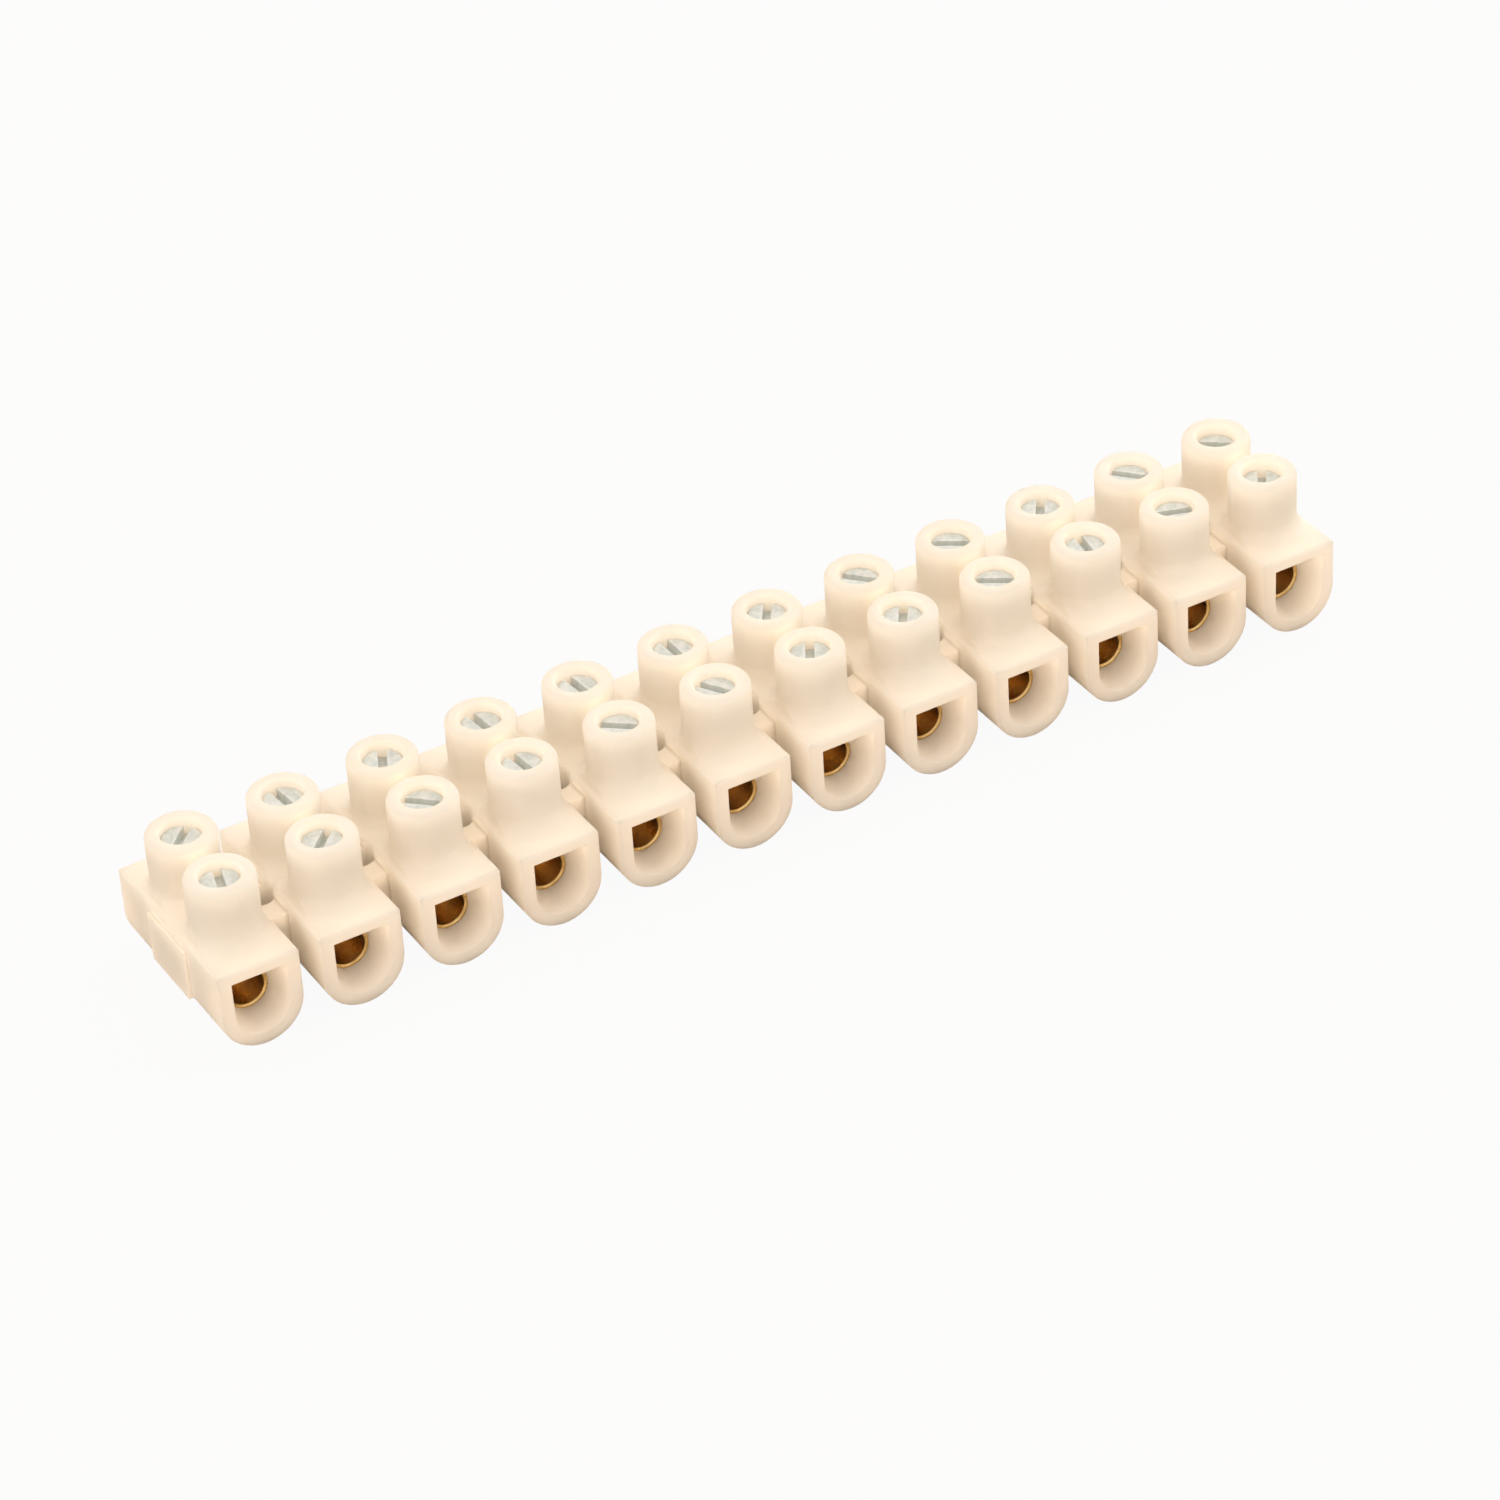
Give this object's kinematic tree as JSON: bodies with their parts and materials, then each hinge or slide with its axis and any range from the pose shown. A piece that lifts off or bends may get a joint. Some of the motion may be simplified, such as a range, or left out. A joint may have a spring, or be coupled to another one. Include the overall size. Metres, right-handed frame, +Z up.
{
  "type": "barrier terminal strip",
  "caption": "Moulded cream terminal strip: a row of poles joined by drilled webs, each with U-shaped mouths at both ends, a brass tube inside and two slotted clamp screws in round towers.",
  "frame": {"origin": "middle of the base, on the plane that the strip stands on", "axes": "+X along the row of poles, +Y from the front mouths to the rear mouths, +Z up through the screw towers"},
  "size_m": [0.1186, 0.0198, 0.0149],
  "materials": {
    "housing_plastic": "satin",
    "brass": "satin",
    "zinc_steel": "satin"
  },
  "bodies": {
    "strip": {"housing": "housing_plastic", "insert_01": "brass", "insert_02": "brass", "insert_03": "brass", "insert_04": "brass", "insert_05": "brass", "insert_06": "brass", "insert_07": "brass", "insert_08": "brass", "insert_09": "brass", "insert_10": "brass", "insert_11": "brass", "insert_12": "brass"},
    "screw_front_01": {"screw_front_01": "zinc_steel"},
    "screw_front_02": {"screw_front_02": "zinc_steel"},
    "screw_front_03": {"screw_front_03": "zinc_steel"},
    "screw_front_04": {"screw_front_04": "zinc_steel"},
    "screw_front_05": {"screw_front_05": "zinc_steel"},
    "screw_front_06": {"screw_front_06": "zinc_steel"},
    "screw_front_07": {"screw_front_07": "zinc_steel"},
    "screw_front_08": {"screw_front_08": "zinc_steel"},
    "screw_front_09": {"screw_front_09": "zinc_steel"},
    "screw_front_10": {"screw_front_10": "zinc_steel"},
    "screw_front_11": {"screw_front_11": "zinc_steel"},
    "screw_front_12": {"screw_front_12": "zinc_steel"},
    "screw_rear_01": {"screw_rear_01": "zinc_steel"},
    "screw_rear_02": {"screw_rear_02": "zinc_steel"},
    "screw_rear_03": {"screw_rear_03": "zinc_steel"},
    "screw_rear_04": {"screw_rear_04": "zinc_steel"},
    "screw_rear_05": {"screw_rear_05": "zinc_steel"},
    "screw_rear_06": {"screw_rear_06": "zinc_steel"},
    "screw_rear_07": {"screw_rear_07": "zinc_steel"},
    "screw_rear_08": {"screw_rear_08": "zinc_steel"},
    "screw_rear_09": {"screw_rear_09": "zinc_steel"},
    "screw_rear_10": {"screw_rear_10": "zinc_steel"},
    "screw_rear_11": {"screw_rear_11": "zinc_steel"},
    "screw_rear_12": {"screw_rear_12": "zinc_steel"}
  },
  "joints": [
    {"name": "screw_front_01_travel", "type": "slide", "parent": "strip", "child": "screw_front_01", "axis": [0, 0, 1], "range_m": [-0.0034, 0]},
    {"name": "screw_front_02_travel", "type": "slide", "parent": "strip", "child": "screw_front_02", "axis": [0, 0, 1], "range_m": [-0.0034, 0]},
    {"name": "screw_front_03_travel", "type": "slide", "parent": "strip", "child": "screw_front_03", "axis": [0, 0, 1], "range_m": [-0.0034, 0]},
    {"name": "screw_front_04_travel", "type": "slide", "parent": "strip", "child": "screw_front_04", "axis": [0, 0, 1], "range_m": [-0.0034, 0]},
    {"name": "screw_front_05_travel", "type": "slide", "parent": "strip", "child": "screw_front_05", "axis": [0, 0, 1], "range_m": [-0.0034, 0]},
    {"name": "screw_front_06_travel", "type": "slide", "parent": "strip", "child": "screw_front_06", "axis": [0, 0, 1], "range_m": [-0.0034, 0]},
    {"name": "screw_front_07_travel", "type": "slide", "parent": "strip", "child": "screw_front_07", "axis": [0, 0, 1], "range_m": [-0.0034, 0]},
    {"name": "screw_front_08_travel", "type": "slide", "parent": "strip", "child": "screw_front_08", "axis": [0, 0, 1], "range_m": [-0.0034, 0]},
    {"name": "screw_front_09_travel", "type": "slide", "parent": "strip", "child": "screw_front_09", "axis": [0, 0, 1], "range_m": [-0.0034, 0]},
    {"name": "screw_front_10_travel", "type": "slide", "parent": "strip", "child": "screw_front_10", "axis": [0, 0, 1], "range_m": [-0.0034, 0]},
    {"name": "screw_front_11_travel", "type": "slide", "parent": "strip", "child": "screw_front_11", "axis": [0, 0, 1], "range_m": [-0.0033, 0.0001]},
    {"name": "screw_front_12_travel", "type": "slide", "parent": "strip", "child": "screw_front_12", "axis": [0, 0, 1], "range_m": [-0.0031, 0.0003]},
    {"name": "screw_rear_01_travel", "type": "slide", "parent": "strip", "child": "screw_rear_01", "axis": [0, 0, 1], "range_m": [-0.0034, 0]},
    {"name": "screw_rear_02_travel", "type": "slide", "parent": "strip", "child": "screw_rear_02", "axis": [0, 0, 1], "range_m": [-0.0034, 0]},
    {"name": "screw_rear_03_travel", "type": "slide", "parent": "strip", "child": "screw_rear_03", "axis": [0, 0, 1], "range_m": [-0.0034, 0]},
    {"name": "screw_rear_04_travel", "type": "slide", "parent": "strip", "child": "screw_rear_04", "axis": [0, 0, 1], "range_m": [-0.0034, 0]},
    {"name": "screw_rear_05_travel", "type": "slide", "parent": "strip", "child": "screw_rear_05", "axis": [0, 0, 1], "range_m": [-0.0034, 0]},
    {"name": "screw_rear_06_travel", "type": "slide", "parent": "strip", "child": "screw_rear_06", "axis": [0, 0, 1], "range_m": [-0.0034, 0]},
    {"name": "screw_rear_07_travel", "type": "slide", "parent": "strip", "child": "screw_rear_07", "axis": [0, 0, 1], "range_m": [-0.0034, 0]},
    {"name": "screw_rear_08_travel", "type": "slide", "parent": "strip", "child": "screw_rear_08", "axis": [0, 0, 1], "range_m": [-0.0034, 0]},
    {"name": "screw_rear_09_travel", "type": "slide", "parent": "strip", "child": "screw_rear_09", "axis": [0, 0, 1], "range_m": [-0.0034, 0]},
    {"name": "screw_rear_10_travel", "type": "slide", "parent": "strip", "child": "screw_rear_10", "axis": [0, 0, 1], "range_m": [-0.0034, 0]},
    {"name": "screw_rear_11_travel", "type": "slide", "parent": "strip", "child": "screw_rear_11", "axis": [0, 0, 1], "range_m": [-0.0034, 0]},
    {"name": "screw_rear_12_travel", "type": "slide", "parent": "strip", "child": "screw_rear_12", "axis": [0, 0, 1], "range_m": [-0.0031, 0.0003]}
  ]
}
